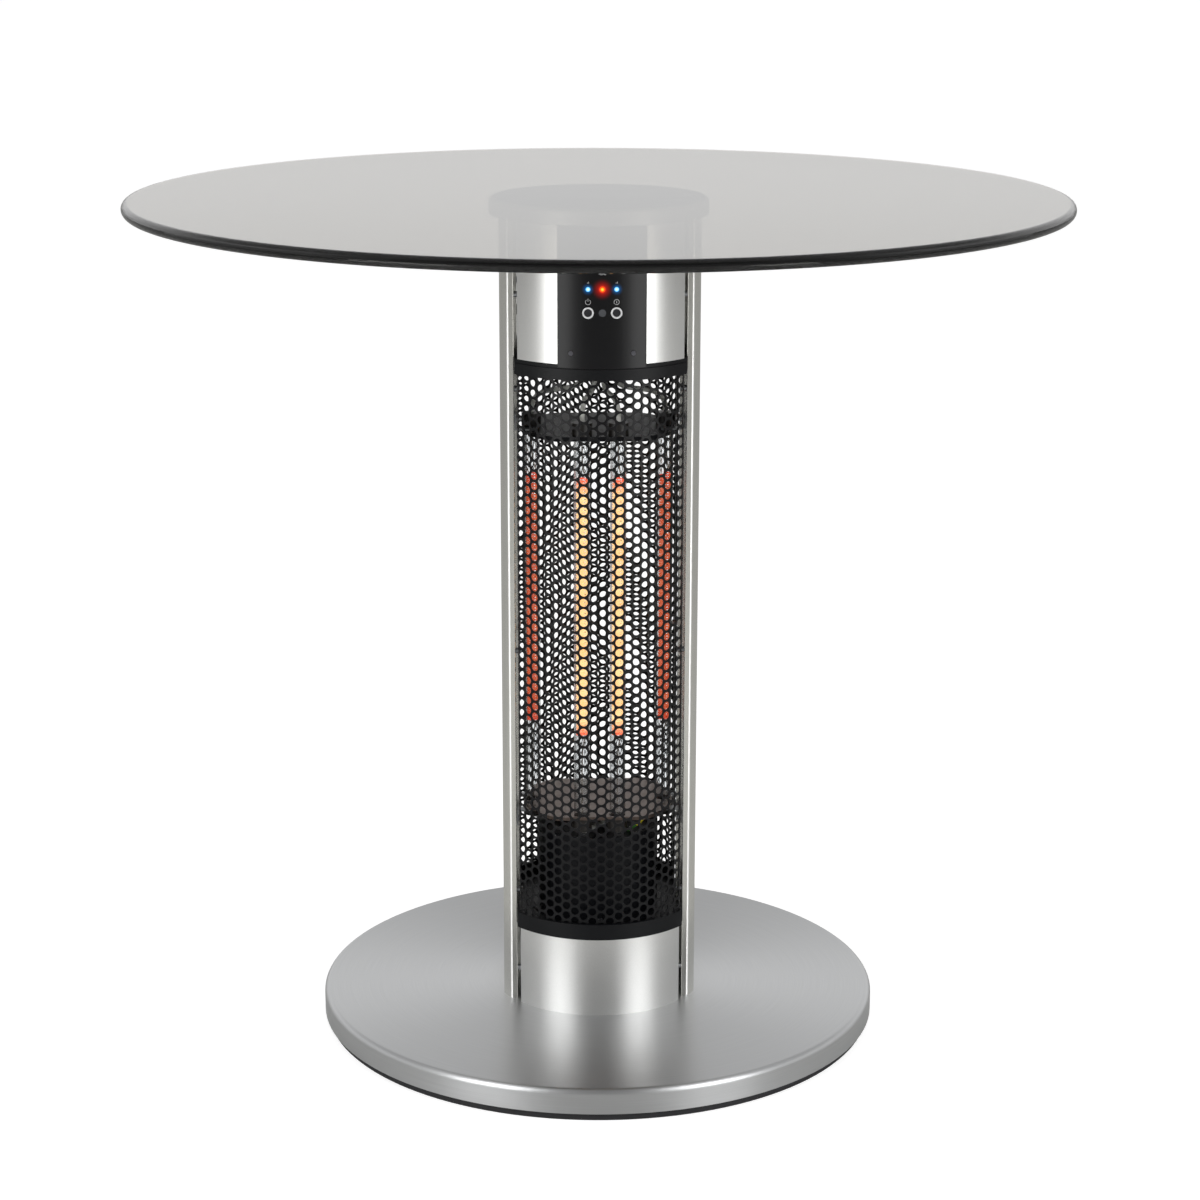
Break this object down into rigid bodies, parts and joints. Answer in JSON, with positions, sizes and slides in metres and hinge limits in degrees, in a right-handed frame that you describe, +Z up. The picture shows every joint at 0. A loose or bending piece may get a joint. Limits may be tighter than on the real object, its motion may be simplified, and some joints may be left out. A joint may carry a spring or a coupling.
{
  "type": "outdoor heater table",
  "caption": "Round smoked-glass bistro table on a weighted steel base, with an electric quartz-tube heater behind a perforated guard in its column.",
  "frame": {"origin": "centre of the base on the floor", "axes": "+Z up through the column, -Y out of the control panel, +X to the right of someone facing the panel"},
  "size_m": [0.7999, 0.8, 0.738],
  "materials": {
    "smoked_glass": "smoked grey float glass, polished edge",
    "clear_bond": "clear silicone bond",
    "cast_aluminium": "satin painted",
    "satin_aluminium": "satin anodised",
    "extruded_aluminium": "satin anodised extrusion",
    "stainless": "circular brushed stainless",
    "foot_rubber": "matt moulded rubber",
    "cast_weight": "rough cast",
    "zinc_steel": "zinc plated",
    "steel_plate": "zinc plated sheet",
    "black_moulding": "fine moulded texture",
    "panel_plastic": "semi-gloss black",
    "guard_sheet": "black stove enamel on perforated sheet",
    "black_enamel": "black heat-proof enamel",
    "bright_plate": "bright rolled sheet",
    "quartz": "clear fused quartz",
    "heating_wire": "glowing resistance wire",
    "ceramic": "dark glazed steatite",
    "lead_sleeve": "glass-fibre sleeve",
    "earth_sleeve": "green and yellow insulation",
    "black_rubber": "cable sheath",
    "terminal_nylon": "natural nylon",
    "blue_lens": "lit blue lens",
    "red_lens": "lit red lens",
    "lamp_epoxy": "clear epoxy lamp body",
    "ir_filter": "smoked acrylic",
    "button_plastic": "satin",
    "white_ring": "white moulded",
    "pcb": "green solder mask",
    "component_black": "moulded component case",
    "winding": "yellow tape",
    "bimetal": "pressed steel"
  },
  "bodies": {
    "frame": {"base_ring": "foot_rubber", "base_weight": "cast_weight", "base_cover": "stainless", "rail_left": "extruded_aluminium", "rail_right": "extruded_aluminium", "rail_screws": "zinc_steel", "lower_shell": "satin_aluminium", "side_screws": "zinc_steel", "gland_body": "black_moulding", "gland_dome_nut": "black_moulding", "gland_lock_nut": "black_moulding", "terminal_block": "terminal_nylon", "lower_collar": "black_moulding", "switch_housing": "black_enamel", "chassis_screws": "zinc_steel", "tilt_bracket": "steel_plate", "tilt_pivot_pin": "zinc_steel", "tilt_microswitch": "component_black", "lower_tube_plate": "bright_plate", "upper_tube_plate": "black_enamel", "plate_brackets": "steel_plate", "tube_front_left": "quartz", "tube_front_right": "quartz", "tube_left": "quartz", "tube_right": "quartz", "coil_front_left": "heating_wire", "coil_front_right": "heating_wire", "coil_left": "heating_wire", "coil_right": "heating_wire", "ceramic_caps": "ceramic", "tube_leads": "lead_sleeve", "earth_wire": "earth_sleeve", "supply_lead": "black_rubber", "grille_front": "guard_sheet", "grille_back": "guard_sheet", "upper_collar": "black_moulding", "thermal_cutout": "bimetal", "upper_shell": "satin_aluminium", "control_panel": "panel_plastic", "panel_screws": "zinc_steel", "led_left_lens": "blue_lens", "led_heat_lens": "red_lens", "led_right_lens": "blue_lens", "indicator_leds": "lamp_epoxy", "ir_window": "ir_filter", "button_rings": "white_ring", "tact_switches": "component_black", "control_board": "pcb", "board_bracket": "steel_plate", "power_board": "pcb", "relays": "component_black", "power_supply": "winding", "top_plate": "steel_plate", "top_cap": "cast_aluminium", "cap_screws": "zinc_steel", "glass_bond": "clear_bond", "glass_top": "smoked_glass"},
    "power_button": {"power_button": "button_plastic"},
    "standby_button": {"standby_button": "button_plastic"},
    "tilt_pendulum": {"tilt_pendulum": "zinc_steel"}
  },
  "joints": [
    {"name": "power_press", "type": "slide", "parent": "frame", "child": "power_button", "axis": [0, 1, 0], "range_m": [0, 0.0006], "stiffness_N_per_m": 600, "springref_m": -0.0004},
    {"name": "standby_press", "type": "slide", "parent": "frame", "child": "standby_button", "axis": [0, 1, 0], "range_m": [0, 0.0006], "stiffness_N_per_m": 600, "springref_m": -0.0004},
    {"name": "tilt_swing", "type": "hinge", "parent": "frame", "child": "tilt_pendulum", "pos_m": [0, 0, 0.165], "axis": [1, 0, 0], "range_deg": [-20, 20]}
  ]
}
